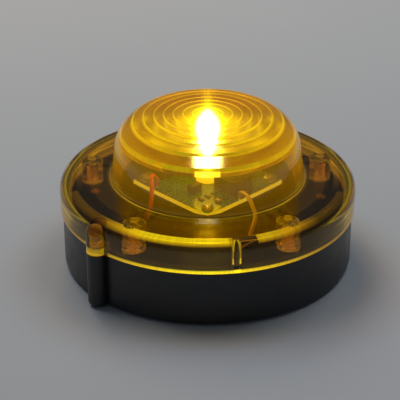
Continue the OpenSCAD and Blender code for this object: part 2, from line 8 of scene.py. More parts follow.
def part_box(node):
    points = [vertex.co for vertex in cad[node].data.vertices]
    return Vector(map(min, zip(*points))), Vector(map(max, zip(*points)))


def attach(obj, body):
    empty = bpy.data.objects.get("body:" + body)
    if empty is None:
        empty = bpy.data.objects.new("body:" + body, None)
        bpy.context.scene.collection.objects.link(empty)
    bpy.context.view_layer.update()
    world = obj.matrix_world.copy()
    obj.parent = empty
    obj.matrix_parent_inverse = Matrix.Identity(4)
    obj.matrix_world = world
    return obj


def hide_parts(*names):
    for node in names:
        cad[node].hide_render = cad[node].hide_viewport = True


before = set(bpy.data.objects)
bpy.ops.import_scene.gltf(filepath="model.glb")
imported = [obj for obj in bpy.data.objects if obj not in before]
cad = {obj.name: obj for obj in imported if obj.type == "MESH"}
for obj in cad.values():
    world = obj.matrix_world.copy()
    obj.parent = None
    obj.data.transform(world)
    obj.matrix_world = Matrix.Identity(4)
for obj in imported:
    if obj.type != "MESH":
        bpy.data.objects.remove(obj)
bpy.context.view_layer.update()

MM = 0.001


# Camera: a long lens about half a metre away, a little above the flare and square to its front.
camera = bpy.data.objects.new("camera", bpy.data.cameras.new("camera"))
camera.data.lens = 129.85
camera.data.clip_start = 0.01
camera.location = (0, -0.4388, 0.2447)
aim = Vector((-0.00257, 0, 0.02012))
camera.rotation_euler = (aim - camera.location).to_track_quat("-Z", "Y").to_euler()
bpy.context.scene.collection.objects.link(camera)
bpy.context.scene.camera = camera


# Base shell: the black cup that stays on the road, moulded in ABS with the lower half of the index lug.
# The tool's steel is lightly etched, so the plastic is semi-gloss with a very fine grain and handling marks.
def start_material(name, **values):
    """A new material and its Principled shader, with the shader's constant values set."""
    material = bpy.data.materials.new(name)
    material.use_nodes = True
    shader = material.node_tree.nodes["Principled BSDF"]
    for socket, value in values.items():
        shader.inputs[socket.replace("_", " ")].default_value = value
    return material, shader


def add(material, kind, inputs, **settings):
    """Adds a node to a material: inputs are values, or outputs of other nodes to link."""
    made = material.node_tree.nodes.new("ShaderNode" + kind)
    for name, value in settings.items():
        setattr(made, name, value)
    for socket, value in inputs.items():
        if isinstance(value, bpy.types.NodeSocket):
            material.node_tree.links.new(value, made.inputs[socket])
        else:
            made.inputs[socket].default_value = value
    return made


def place(material, scale=(1, 1, 1), location=(0, 0, 0), rotation=(0, 0, 0)):
    """The piece's own coordinates, moved, turned or stretched for a pattern."""
    where = add(material, "TexCoord", {}).outputs["Object"]
    return add(material, "Mapping", {"Vector": where, "Location": location, "Rotation": rotation,
                                     "Scale": scale}).outputs["Vector"]


def noise(material, scale, detail=4, roughness=0.55, vector=None):
    vector = vector or place(material)
    return add(material, "TexNoise", {"Vector": vector, "Scale": scale, "Detail": detail,
                                      "Roughness": roughness}).outputs["Fac"]


def ramp(material, factor, stops):
    """A colour ramp with (position, grey or colour) stops."""
    made = add(material, "ValToRGB", {"Fac": factor})
    while len(made.color_ramp.elements) < len(stops):
        made.color_ramp.elements.new(0.5)
    for element, (position, colour) in zip(made.color_ramp.elements, stops):
        element.position = position
        element.color = (*colour, 1) if isinstance(colour, tuple) else (colour, colour, colour, 1)
    return made.outputs["Color"]


def feed(material, shader, socket, output):
    material.node_tree.links.new(output, shader.inputs[socket])


def vary_roughness(material, shader, factor, low, high):
    spread = add(material, "MapRange", {"Value": factor, "From Min": 0.3, "From Max": 0.7,
                                        "To Min": low, "To Max": high})
    feed(material, shader, "Roughness", spread.outputs["Result"])


def raise_bumps(material, shader, height, depth, strength=1.0):
    bump = add(material, "Bump", {"Height": height, "Distance": depth, "Strength": strength})
    feed(material, shader, "Normal", bump.outputs["Normal"])


def mixed(material, factor, first, second, blend="MIX"):
    made = add(material, "MixRGB", {"Fac": factor, "Color1": first, "Color2": second}, blend_type=blend)
    return made.outputs["Color"]


def height_of(material):
    """How far up the piece a point is, in metres."""
    where = add(material, "TexCoord", {}).outputs["Object"]
    return add(material, "SeparateXYZ", {"Vector": where}).outputs["Z"]


def between(material, value, low, high):
    """0 below low and 1 above high, with a smooth change."""
    return add(material, "MapRange", {"Value": value, "From Min": low, "From Max": high},
               interpolation_type="SMOOTHSTEP").outputs["Result"]


def black_moulding(name, tone, gloss):
    """Black ABS: a faint cloudiness, a fine grain, hairline scuffs and dust caught low down."""
    material, shader = start_material(name, IOR=1.53)
    cloud = noise(material, 70, 3)
    body = ramp(material, cloud, [(0.3, (tone * 0.8, tone * 0.8, tone * 0.82)),
                                  (0.7, (tone * 1.2, tone * 1.2, tone * 1.2))])
    scuffs = noise(material, 160, 6, 0.7, place(material, (1, 1, 14)))
    scuffed = ramp(material, scuffs, [(0.6, 0.0), (0.72, 0.35)])
    low = between(material, height_of(material), 0.006, 0.0008)
    worn = add(material, "Math", {0: scuffed, 1: low}, operation="MULTIPLY").outputs["Value"]
    feed(material, shader, "Base Color", mixed(material, worn, body, (0.09, 0.088, 0.083, 1)))
    vary_roughness(material, shader, noise(material, 240, 6, 0.65), gloss, gloss + 0.14)
    raise_bumps(material, shader, noise(material, 4200, 2), 0.000012, 0.5)
    return material


def dress(node, material):
    """Gives a CAD node one material."""
    cad[node].data.materials.clear()
    cad[node].data.materials.append(material)


shell_black = black_moulding("shell_black", 0.0105, 0.27)
dress("base_shell", shell_black)


# Foot ring: a moulded rubber ring pressed in a groove of the underside. It stands 0.6 mm proud for grip, and
# three fine grooves run round its face.
rubber, shader = start_material("foot_rubber", IOR=1.5)
feed(rubber, shader, "Base Color", ramp(rubber, noise(rubber, 320, 5, 0.7), [(0.35, 0.012), (0.75, 0.032)]))
vary_roughness(rubber, shader, noise(rubber, 900, 3), 0.62, 0.85)
raise_bumps(rubber, shader, noise(rubber, 2600, 3, 0.6), 0.00004)


def turned(name, outline, segments):
    """A mesh turned round Z from a half outline whose last point is on the axis."""
    mesh = bpy.data.meshes.new(name)
    build = bmesh.new()
    corners = [build.verts.new((x, 0, z)) for x, z in outline]
    edges = [build.edges.new(pair) for pair in zip(corners, corners[1:])]
    bmesh.ops.spin(build, geom=corners + edges, cent=(0, 0, 0), axis=(0, 0, 1), angle=math.tau,
                   steps=segments, use_duplicate=False)
    bmesh.ops.remove_doubles(build, verts=build.verts, dist=1e-6)
    bmesh.ops.recalc_face_normals(build, faces=build.faces)
    build.to_mesh(mesh)
    build.free()
    made = bpy.data.objects.new(name, mesh)
    bpy.context.scene.collection.objects.link(made)
    return made


def fused(base, tool, how):
    """base joined with, or cut by, tool, which is then removed."""
    modifier = base.modifiers.new(how, "BOOLEAN")
    modifier.operation = how
    modifier.solver = "EXACT"
    modifier.object = tool
    plain = bpy.data.meshes.new_from_object(base.evaluated_get(bpy.context.evaluated_depsgraph_get()))
    base.modifiers.clear()
    base.data = plain
    bpy.data.objects.remove(tool)


def smooth_sharp(piece, angle):
    """Smooth faces, with the edges sharper than an angle kept crisp."""
    piece.data.shade_smooth()
    piece.data.set_sharp_from_angle(angle=math.radians(angle))


def seated(piece, x, y):
    """Moves a turned piece's mesh away from the axis."""
    for vertex in piece.data.vertices:
        vertex.co.x += x
        vertex.co.y += y
    return piece


def at_bearing(r, bearing):
    """A place at a radius and a bearing from the front, towards +X."""
    return r * math.sin(math.radians(bearing)), -r * math.cos(math.radians(bearing))


def finished(piece, material, body, node):
    """Gives a made piece its material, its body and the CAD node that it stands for."""
    piece.data.materials.clear()
    piece.data.materials.append(material)
    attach(piece, body)
    if node:
        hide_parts(node)


foot_low, foot_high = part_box("foot_ring")
FOOT_OUT = foot_high.x
FOOT_IN = FOOT_OUT - 4.8 * MM
grooves = []
for i in range(3):
    at = FOOT_IN + (FOOT_OUT - FOOT_IN) * (i + 1) / 4
    grooves += [(at - 0.3 * MM, foot_low.z), (at - 0.1 * MM, foot_low.z + 0.3 * MM),
                (at + 0.1 * MM, foot_low.z + 0.3 * MM), (at + 0.3 * MM, foot_low.z)]
ring_outline = [(FOOT_IN, foot_high.z), (FOOT_IN, foot_low.z + 0.15 * MM), (FOOT_IN + 0.15 * MM, foot_low.z)]
ring_outline += grooves + [(FOOT_OUT - 0.15 * MM, foot_low.z), (FOOT_OUT, foot_low.z + 0.15 * MM),
                           (FOOT_OUT, foot_high.z), (FOOT_IN, foot_high.z)]
foot_ring = turned("rubber_foot_ring", ring_outline, 160)
smooth_sharp(foot_ring, 30)
finished(foot_ring, rubber, "base_unit", "foot_ring")


# Magnet: a pressed and ground ferrite disc, dark grey with fine pits, that holds the flare on a car's roof.
ferrite, shader = start_material("ground_ferrite", Metallic=0.25)
pits = noise(ferrite, 2400, 5, 0.75)
feed(ferrite, shader, "Base Color", ramp(ferrite, pits, [(0.36, 0.018), (0.5, 0.055), (0.8, 0.085)]))
vary_roughness(ferrite, shader, noise(ferrite, 60, 6, 0.7, place(ferrite, (1, 14, 1))), 0.38, 0.62)
raise_bumps(ferrite, shader, pits, 0.00003)
dress("magnet", ferrite)


# Magnet cup, screws and other plated steel: bright zinc, with the passivation's faint yellow and blue clouds.
def plated(name, first, second, low, high):
    material, shader = start_material(name, Metallic=1.0)
    cloud = noise(material, 260, 4, 0.6)
    feed(material, shader, "Base Color", ramp(material, cloud, [(0.3, first), (0.7, second)]))
    vary_roughness(material, shader, noise(material, 700, 5, 0.7), low, high)
    raise_bumps(material, shader, noise(material, 5200, 2), 0.000006)
    return material


zinc = plated("zinc_plate", (0.62, 0.62, 0.6), (0.7, 0.69, 0.62), 0.2, 0.36)
dress("magnet_cup", zinc)


# Screws: zinc-plated thread-forming screws with cross-recessed pan heads, in four sets. Five hold the deck to
# the lens, four the board, three the magnet's retainer and two the battery tray.
def threaded_screw(name, head_r, head_h, shank_r, length):
    """A screw that hangs point down from its head's bearing face, which is at height 0."""
    round_head = [(0, head_h), (head_r * 0.45, head_h * 0.97), (head_r * 0.8, head_h * 0.72),
                  (head_r * 0.97, head_h * 0.35), (head_r, 0.05 * MM), (head_r - 0.05 * MM, 0)]
    core = shank_r * 0.78
    shank = [(core, 0), (core, -length + shank_r * 1.4), (core * 0.4, -length + 0.1 * MM), (0, -length)]
    screw = turned(name, round_head + shank, 40)
    for turn in (0, 90):
        wing = bpy.data.meshes.new("recess")
        build = bmesh.new()
        bmesh.ops.create_cube(build, size=1)
        for corner in build.verts:
            half = 0.55 if corner.co.z > 0 else 0.25
            x, y = corner.co.x * 2 * half * head_r, corner.co.y * 0.24 * head_r
            corner.co = (x, y, head_h * (1.2 if corner.co.z > 0 else 0.25))
        bmesh.ops.rotate(build, verts=build.verts, matrix=Matrix.Rotation(math.radians(turn), 3, "Z"))
        build.to_mesh(wing)
        build.free()
        cutter = bpy.data.objects.new("recess", wing)
        bpy.context.scene.collection.objects.link(cutter)
        fused(screw, cutter, "DIFFERENCE")
    pitch, sides = shank_r * 0.75, 20
    turns = int((length - shank_r * 2) / pitch)
    thread = bmesh.new()
    rows = []
    for i in range(turns * sides + 1):
        angle, drop = math.tau * i / sides, -0.3 * MM - pitch * i / sides
        reach = min(1, i / sides, (turns * sides - i) / sides)
        crest = core + (shank_r - core) * reach
        rows.append([thread.verts.new((r * math.cos(angle), r * math.sin(angle), drop + dz)) for r, dz in
                     ((core * 0.98, pitch * 0.3), (crest, 0), (core * 0.98, -pitch * 0.3))])
    for first, second in zip(rows, rows[1:]):
        for k in (0, 1):
            thread.faces.new((first[k], first[k + 1], second[k + 1], second[k]))
    thread.from_mesh(screw.data)
    thread.to_mesh(screw.data)
    thread.free()
    smooth_sharp(screw, 35)
    return screw


def new_tree(name, inputs):
    """A Geometry Nodes group with named inputs and one geometry output."""
    tree = bpy.data.node_groups.new(name, "GeometryNodeTree")
    for label, kind in inputs:
        tree.interface.new_socket(name=label, in_out="INPUT", socket_type="NodeSocket" + kind)
    tree.interface.new_socket(name="Geometry", in_out="OUTPUT", socket_type="NodeSocketGeometry")
    return tree, tree.nodes.new("NodeGroupInput"), tree.nodes.new("NodeGroupOutput")


def step(tree, kind, inputs, **settings):
    """Adds a node to a group: inputs are values, or outputs of other nodes to link."""
    made = tree.nodes.new(kind)
    for name, value in settings.items():
        setattr(made, name, value)
    for socket, value in inputs.items():
        if isinstance(value, bpy.types.NodeSocket):
            tree.links.new(value, made.inputs[socket])
        else:
            made.inputs[socket].default_value = value
    return made


def close_tree(tree, start, end, shape):
    """Every group ends the same way: real geometry with its material set."""
    real = step(tree, "GeometryNodeRealizeInstances", {"Geometry": shape})
    coated = step(tree, "GeometryNodeSetMaterial", {"Geometry": real.outputs[0],
                                                    "Material": start.outputs["Material"]})
    tree.links.new(coated.outputs[0], end.inputs["Geometry"])


def grown(name, tree, source=None, **values):
    """A plain mesh made by a group, from a source mesh and values for its named inputs."""
    shape = bpy.data.objects.new(name, source.data if source else bpy.data.meshes.new(name))
    bpy.context.scene.collection.objects.link(shape)
    modifier = shape.modifiers.new(name, "NODES")
    modifier.node_group = tree
    for item in tree.interface.items_tree:
        if item.in_out == "INPUT" and item.name in values:
            modifier[item.identifier] = values[item.name]
    bpy.context.view_layer.update()
    plain = bpy.data.meshes.new_from_object(shape.evaluated_get(bpy.context.evaluated_depsgraph_get()))
    shape.modifiers.clear()
    shape.data = plain
    if source:
        bpy.data.objects.remove(source)
    return shape


screw_circle, start, end = new_tree("screw_circle", [
    ("Geometry", "Geometry"), ("Count", "Int"), ("Radius", "Float"), ("Bearing", "Float"),
    ("Height", "Float"), ("Tip", "Float"), ("Material", "Material")])
nth = step(screw_circle, "GeometryNodeInputIndex", {})
share = step(screw_circle, "ShaderNodeMath", {0: nth.outputs[0], 1: start.outputs["Count"]},
             operation="DIVIDE")
angle = step(screw_circle, "ShaderNodeMath", {0: share.outputs[0], 1: math.tau, 2: start.outputs["Bearing"]},
             operation="MULTIPLY_ADD")
along, across = [step(screw_circle, "ShaderNodeMath", {
    0: step(screw_circle, "ShaderNodeMath", {0: angle.outputs[0]}, operation=way).outputs[0],
    1: start.outputs["Radius"]}, operation="MULTIPLY") for way in ("COSINE", "SINE")]
spot = step(screw_circle, "ShaderNodeCombineXYZ", {"X": along.outputs[0], "Y": across.outputs[0],
                                                   "Z": start.outputs["Height"]})
seats = step(screw_circle, "GeometryNodePoints", {"Count": start.outputs["Count"],
                                                  "Position": spot.outputs[0], "Radius": 0.001})
driven = step(screw_circle, "FunctionNodeRandomValue", {"Max": math.tau}, data_type="FLOAT")
facing = step(screw_circle, "ShaderNodeCombineXYZ", {"X": start.outputs["Tip"], "Z": driven.outputs[1]})
held = step(screw_circle, "GeometryNodeInstanceOnPoints", {
    "Points": seats.outputs[0], "Instance": start.outputs["Geometry"], "Rotation": facing.outputs[0]})
close_tree(screw_circle, start, end, held.outputs[0])

for node, body, count, radius, bearing, height, upside, sizes in (
        ("lens_screws", "lens_unit", 5, 41.5, -34, 18.6, True, (2.5, 1.5, 1.2, 7.2)),
        ("board_screws", "lens_unit", 4, 20.93, 0, 28.0, False, (2.0, 1.3, 0.85, 5.4)),
        ("retainer_screws", "base_unit", 3, 24.1, 0, 1.6, True, (2.1, 0.8, 0.95, 4.5)),
        ("tray_screws", "base_unit", 2, 21.85, 0, 15.0, False, (2.2, 1.3, 0.95, 6.0))):
    one = threaded_screw("one_screw", *[size * MM for size in sizes])
    screws = grown("cross_recess_" + node, screw_circle, one, Count=count, Radius=radius * MM,
                   Bearing=math.radians(bearing - 90), Height=height * MM, Tip=math.pi * upside,
                   Material=zinc)
    finished(screws, zinc, body, node)


# Magnet retainer: a flat black ABS ring, screwed into the underside over the cup's flange.
dress("magnet_retainer", black_moulding("retainer_black", 0.014, 0.34))


# Battery tray: a matt dark grey moulding that cradles three cells and carries their contact plates.
tray_grey, shader = start_material("tray_grey", IOR=1.5)
feed(tray_grey, shader, "Base Color", ramp(tray_grey, noise(tray_grey, 110, 5), [(0.3, 0.032), (0.7, 0.047)]))
vary_roughness(tray_grey, shader, noise(tray_grey, 800, 4), 0.45, 0.62)
raise_bumps(tray_grey, shader, noise(tray_grey, 3000, 3), 0.00002)
dress("battery_tray", tray_grey)


# Cells: three steel-cased batteries in a shrunk sleeve, dark blue with a copper-coloured band at the nub end.
def cell_jacket(name, nub_side):
    material, shader = start_material(name, IOR=1.5, Coat_Weight=0.4, Coat_Roughness=0.1)
    where = add(material, "TexCoord", {}).outputs["Object"]
    along = add(material, "SeparateXYZ", {"Vector": where}).outputs["X"]
    toward = add(material, "Math", {0: along, 1: nub_side}, operation="MULTIPLY").outputs["Value"]
    band = between(material, toward, 0.0112, 0.0114)
    case = between(material, toward, 0.0228, 0.023)
    sleeve = mixed(material, band, (0.012, 0.03, 0.085, 1), (0.62, 0.27, 0.09, 1))
    steel = mixed(material, case, sleeve, (0.55, 0.54, 0.5, 1))
    wear = ramp(material, noise(material, 420, 6, 0.7), [(0.4, 0.0), (0.9, 0.4)])
    feed(material, shader, "Base Color", mixed(material, wear, steel, (0.3, 0.3, 0.3, 1)))
    feed(material, shader, "Metallic", case)
    vary_roughness(material, shader, noise(material, 500, 5), 0.24, 0.4)
    return material


for node, nub_side in (("battery_1", -1), ("battery_2", 1), ("battery_3", -1)):
    dress(node, cell_jacket(node + "_jacket", nub_side))


# Contact springs and plates: nickel-plated spring steel, between the cells' ends and over the tray's wall.
nickel = plated("nickel_plate", (0.6, 0.56, 0.49), (0.68, 0.65, 0.58), 0.16, 0.32)
for node in ("left_contact_link", "right_contact_link", "positive_terminal", "negative_terminal"):
    dress(node, nickel)

cone_spring, start, end = new_tree("cone_spring", [
    ("Turns", "Float"), ("Wide", "Float"), ("Narrow", "Float"), ("Length", "Float"), ("Wire", "Float"),
    ("Facing", "Float"), ("Place", "Vector"), ("Material", "Material")])
coil = step(cone_spring, "GeometryNodeCurveSpiral", {
    "Resolution": 40, "Rotations": start.outputs["Turns"], "Start Radius": start.outputs["Wide"],
    "End Radius": start.outputs["Narrow"], "Height": start.outputs["Length"]})
section = step(cone_spring, "GeometryNodeCurvePrimitiveCircle", {"Resolution": 14,
                                                                 "Radius": start.outputs["Wire"]})
rod = step(cone_spring, "GeometryNodeCurveToMesh", {
    "Curve": coil.outputs[0], "Profile Curve": section.outputs[0], "Fill Caps": True})
aim = step(cone_spring, "ShaderNodeCombineXYZ", {"Y": start.outputs["Facing"]})
laid = step(cone_spring, "GeometryNodeTransform", {"Geometry": rod.outputs[0], "Rotation": aim.outputs[0],
                                                   "Translation": start.outputs["Place"]})
close_tree(cone_spring, start, end, laid.outputs[0])
for number, side in ((1, 1), (2, -1), (3, 1)):
    node = "contact_spring_%d" % number
    low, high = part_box(node)
    wide_end = high.x - 0.3 * MM if side > 0 else low.x + 0.3 * MM
    spring = grown("cone_" + node, cone_spring, Turns=3.0, Wide=3.8 * MM, Narrow=2.4 * MM,
                   Length=high.x - low.x - 0.6 * MM, Wire=0.3 * MM, Facing=-side * math.pi / 2,
                   Place=(wide_end, (low.y + high.y) / 2, (low.z + high.z) / 2), Material=nickel)
    smooth_sharp(spring, 40)
    finished(spring, nickel, "base_unit", node)


# Deck: the black floor of the lens unit. It carries the board on four pillars, closes the lens from below,
# and hangs in the base by three lugs at its skirt.
deck_black = black_moulding("deck_black", 0.012, 0.42)
deck_black.node_tree.nodes["Principled BSDF"].inputs["Specular IOR Level"].default_value = 0.2
dress("deck", deck_black)


# Seal ring: a nitrile O-ring in the skirt's groove, greased, that keeps rain out of the battery bay.
nitrile, shader = start_material("greased_nitrile", Coat_Weight=0.3, Coat_Roughness=0.2)
feed(nitrile, shader, "Base Color", ramp(nitrile, noise(nitrile, 500, 4), [(0.3, 0.012), (0.7, 0.022)]))
vary_roughness(nitrile, shader, noise(nitrile, 1300, 4), 0.35, 0.55)
dress("seal_ring", nitrile)


# Contact leaves and rivets: phosphor bronze strips that wipe the tray's end plates, set with brass rivets.
bronze, shader = start_material("phosphor_bronze", Metallic=1.0)
feed(bronze, shader, "Base Color", ramp(bronze, noise(bronze, 300, 5), [(0.3, (0.62, 0.38, 0.2)),
                                                                         (0.7, (0.74, 0.5, 0.27))]))
vary_roughness(bronze, shader, noise(bronze, 900, 5, 0.7, place(bronze, (1, 12, 1))), 0.22, 0.42)
for node in ("positive_leaf", "negative_leaf"):
    dress(node, bronze)
brass = plated("rivet_brass", (0.72, 0.53, 0.24), (0.8, 0.62, 0.32), 0.2, 0.34)
dress("leaf_rivets", brass)


# Circuit board: glass epoxy under a glossy green solder mask, with copper tracks below the mask and the
# pale epoxy bare along its sawn edges, which also carry a painted glow, emitted in the epoxy's colour.
board_low, board_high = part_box("circuit_board")
board_top = board_high.z
mask_green, shader = start_material("solder_mask", IOR=1.5, Coat_Weight=0.5, Coat_Roughness=0.06)
on_board = place(mask_green, rotation=(0, 0, -math.radians(45)))
tracks = add(mask_green, "TexBrick", {"Vector": on_board, "Scale": 100.0, "Mortar Size": 0.04,
                                      "Brick Width": 0.62, "Row Height": 0.19, "Mortar Smooth": 0.1},
             offset=0.37, squash=0.6)
copper = ramp(mask_green, tracks.outputs["Fac"], [(0.4, 0.0), (0.6, 1.0)])
green = mixed(mask_green, copper, (0.012, 0.105, 0.022, 1), (0.022, 0.2, 0.04, 1))
weave = noise(mask_green, 1500, 3, 0.5, on_board)
face = mixed(mask_green, ramp(mask_green, weave, [(0.4, 0.0), (0.8, 0.4)]), green, (0.03, 0.16, 0.05, 1))
inside = add(mask_green, "Math", {0: between(mask_green, height_of(mask_green), board_low.z + 0.00005,
                                             board_low.z + 0.00009),
                                  1: between(mask_green, height_of(mask_green), board_top - 0.00005,
                                             board_top - 0.00009)}, operation="MULTIPLY")
layers = noise(mask_green, 900, 4, 0.6, place(mask_green, (1, 1, 9)))
edge = ramp(mask_green, layers, [(0.3, (0.5, 0.44, 0.24)), (0.7, (0.72, 0.66, 0.42))])
feed(mask_green, shader, "Base Color", mixed(mask_green, inside.outputs["Value"], face, edge))
# Painted glow: the sawn edges emit their pale epoxy colour, as if lit from within by the lamp.
feed(mask_green, shader, "Emission Color", mixed(mask_green, inside.outputs["Value"], (0, 0, 0, 1), edge))
shader.inputs["Emission Strength"].default_value = 1.1
vary_roughness(mask_green, shader, noise(mask_green, 700, 3), 0.18, 0.32)
raise_bumps(mask_green, shader, tracks.outputs["Fac"], 0.00003)
dress("circuit_board", mask_green)


# Small parts on the board: moulded epoxy chips with tinned legs and ceramic chips with tinned ends, reflowed
# on their pads, with their moulded edges softened.
def softened(node, width):
    """A copy of a CAD node's shape with its sharp edges rounded, as a moulding's are."""
    build = bmesh.new()
    build.from_mesh(cad[node].data)
    build.transform(cad[node].matrix_world)
    bmesh.ops.remove_doubles(build, verts=build.verts, dist=1e-6)
    bmesh.ops.dissolve_limit(build, angle_limit=math.radians(1), verts=build.verts, edges=build.edges)
    sharp = [edge for edge in build.edges if edge.is_manifold and edge.calc_face_angle(0) > math.radians(40)]
    bmesh.ops.bevel(build, geom=sharp, offset=width, segments=2, profile=0.6, affect="EDGES",
                    clamp_overlap=True)
    mesh = bpy.data.meshes.new("soft_" + node)
    build.to_mesh(mesh)
    build.free()
    made = bpy.data.objects.new("soft_" + node, mesh)
    bpy.context.scene.collection.objects.link(made)
    smooth_sharp(made, 50)
    return made


def two_part(name, colour, metal_below, low, high):
    """Moulded body above a height, bright tinned metal below it."""
    material, shader = start_material(name)
    metal = between(material, height_of(material), metal_below + 0.00005, metal_below)
    body = ramp(material, noise(material, 1800, 4, 0.7), [(0.3, tuple(c * 0.7 for c in colour)),
                                                         (0.7, tuple(c * 1.3 for c in colour))])
    feed(material, shader, "Base Color", mixed(material, metal, body, (0.66, 0.66, 0.64, 1)))
    feed(material, shader, "Metallic", metal)
    vary_roughness(material, shader, noise(material, 2400, 4), low, high)
    raise_bumps(material, shader, noise(material, 6000, 3), 0.00001)
    return material


for node, name, colour, metal_height, low, high, record_slot in (
        ("driver_chip", "driver_chip_epoxy", (0.02, 0.02, 0.021), 0.0002, 0.4, 0.55, "chip_epoxy"),
        ("flyback_diode", "diode_epoxy", (0.022, 0.022, 0.022), 0.0001, 0.4, 0.55, "chip_epoxy"),
        ("chip_resistors", "resistor_glaze", (0.018, 0.018, 0.02), 0.00005, 0.25, 0.4, "chip_epoxy"),
        ("chip_capacitors", "capacitor_ceramic", (0.4, 0.28, 0.16), 0.00005, 0.35, 0.5, "tan_ceramic"),
        ("boost_inductor", "inductor_ferrite", (0.03, 0.03, 0.031), 0.0003, 0.45, 0.65, "ferrite")):
    coat = two_part(name, colour, board_top + metal_height, low, high)
    finished(softened(node, 0.12 * MM), coat, "lens_unit", node)
tinned = plated("tinned_metal", (0.62, 0.62, 0.6), (0.72, 0.72, 0.7), 0.14, 0.26)
for node in ("timing_crystal", "led_leads"):
    dress(node, tinned)
dress("storage_capacitor", two_part("capacitor_sleeve", (0.035, 0.02, 0.07), board_top, 0.2, 0.35))


# LED spacer: a natural nylon collar that stands the LED off the board, with a painted glow from the lamp,
# brighter to its top.
spacer_low, spacer_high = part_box("led_spacer")
nylon, shader = start_material("natural_nylon", Subsurface_Weight=0.3, Subsurface_Scale=0.002)
painted_glow_rise = between(nylon, height_of(nylon), spacer_low.z - 0.003, spacer_high.z)
# Painted glow: the collar emits pale amber low down, rising to warm white at its top.
feed(nylon, shader, "Emission Color", ramp(nylon, painted_glow_rise, [(0.0, (0.8, 0.55, 0.1)), (1.0, (2.2, 2.0, 1.5))]))
shader.inputs["Emission Strength"].default_value = 1.0
feed(nylon, shader, "Base Color", ramp(nylon, noise(nylon, 600, 4), [(0.3, (0.72, 0.7, 0.62)),
                                                                     (0.7, (0.82, 0.8, 0.73))]))
vary_roughness(nylon, shader, noise(nylon, 1800, 4), 0.35, 0.5)
dress("led_spacer", nylon)


# Main LED: an 8 mm round lamp of clear epoxy, lit. Its domed tip throws nearly all of the light upwards and
# the flanks glow. It is warm to look at, and its glare stays white where it is seen through the amber lens.
led_low, led_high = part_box("main_led")
led_epoxy, shader = start_material("led_epoxy", Roughness=0.12, IOR=1.54, Base_Color=(0.9, 0.7, 0.3, 1))
rise = between(led_epoxy, height_of(led_epoxy), led_low.z + 0.003, led_high.z - 0.002)
grain = ramp(led_epoxy, noise(led_epoxy, 500, 3), [(0.3, 0.85), (0.7, 1.0)])
glare = ramp(led_epoxy, rise, [(0.0, (0.12, 0.12, 1.0)), (0.4, (0.026, 0.034, 1.0)),
                               (1.0, (0.022, 0.03, 1.0))])
through_lens = add(led_epoxy, "LightPath", {}).outputs["Is Transmission Ray"]
hue = mixed(led_epoxy, through_lens, (0.08, 0.078, 0.03, 1), glare)
feed(led_epoxy, shader, "Emission Color", mixed(led_epoxy, 1.0, hue, grain, "MULTIPLY"))
power = add(led_epoxy, "MapRange", {"Value": rise, "From Min": 0.0, "From Max": 1.0, "To Min": 60.0,
                                    "To Max": 200.0})
feed(led_epoxy, shader, "Emission Strength", power.outputs["Result"])
dress("main_led", led_epoxy)


# Wires: stranded hook-up wire in soft PVC, soldered to the board and led down through the deck to the leaves.
def insulation(name, first, second):
    material, shader = start_material(name, IOR=1.5)
    cloud = noise(material, 500, 4)
    feed(material, shader, "Base Color", ramp(material, cloud, [(0.3, first), (0.7, second)]))
    vary_roughness(material, shader, noise(material, 1500, 4), 0.3, 0.45)
    raise_bumps(material, shader, noise(material, 1200, 3), 0.00004)
    return material


def wire(name, route, radius):
    """A round wire along a smooth curve through a route's points, in millimetres."""
    points = []
    for i in range(len(route) - 1):
        a, b, c, d = [Vector(route[k]) for k in (max(i - 1, 0), i, i + 1, min(i + 2, len(route) - 1))]
        for t in [k / 8 for k in range(8)]:
            points.append(0.5 * (2 * b + (c - a) * t + (2 * a - 5 * b + 4 * c - d) * t ** 2
                                 + (3 * b - a - 3 * c + d) * t ** 3))
    points.append(Vector(route[-1]))
    curve = bpy.data.curves.new(name, "CURVE")
    curve.dimensions = "3D"
    curve.bevel_depth = radius
    curve.bevel_resolution = 4
    curve.use_fill_caps = True
    line = curve.splines.new("POLY")
    line.points.add(len(points) - 1)
    for target, point in zip(line.points, points):
        target.co = (*(point * MM), 1)
    guide = bpy.data.objects.new(name, curve)
    mesh = bpy.data.meshes.new_from_object(guide)
    bpy.data.objects.remove(guide)
    made = bpy.data.objects.new(name, mesh)
    bpy.context.scene.collection.objects.link(made)
    mesh.shade_smooth()
    return made


WIRE_START = 28.25
UNDER_DECK = 17.75
red_route = [(-17.3, -4.6, WIRE_START), (-17.3, -4.6, 30.4), (-18.6, -8, 32.8), (-18.2, -12.4, 29.2),
             (-18.8, -15.6, 24.6), (-20, -16.6, 21), (-20, -16.6, 19.4), (-21.4, -18.4, UNDER_DECK),
             (-25, -23.4, UNDER_DECK), (-27.6, -26, UNDER_DECK)]
pale_route = [(10.8, -13.6, WIRE_START), (10.8, -13.6, 30), (13.2, -18, 30.4), (15.4, -25, 26),
              (13.8, -32, 23.4), (11.4, -35.3, 21.2), (11.2, -35.3, 19.4), (13.2, -34.8, UNDER_DECK),
              (22.4, -28.6, UNDER_DECK), (31.6, -18, UNDER_DECK), (36.4, -8, UNDER_DECK),
              (37.6, -6, UNDER_DECK)]
WIRE_R = 0.7 * MM
red_pvc = insulation("red_insulation", (0.62, 0.07, 0.03), (0.8, 0.13, 0.05))
finished(wire("red_hookup_wire", red_route, WIRE_R), red_pvc, "lens_unit", "positive_wire")
pale_pvc = insulation("pale_insulation", (0.6, 0.52, 0.34), (0.72, 0.64, 0.45))
finished(wire("pale_hookup_wire", pale_route, WIRE_R), pale_pvc, "lens_unit", "negative_wire")


# Solder joints: bright tin cones that wet the pads where the two wires' cores reach the board.
solder = plated("solder", (0.6, 0.6, 0.59), (0.7, 0.7, 0.68), 0.1, 0.22)
for name, x, y in (("red_wire_joint", -17.3, -4.6), ("pale_wire_joint", 10.8, -13.6)):
    joint = turned(name, [(0, 0), (1.1, 0), (1.06, 0.06), (0.75, 0.14), (0.55, 0.24), (0, 0.27)], 28)
    for vertex in joint.data.vertices:
        vertex.co = vertex.co * MM + Vector((0, 0, board_top))
    smooth_sharp(joint, 60)
    finished(seated(joint, x * MM, y * MM), solder, "lens_unit", None)


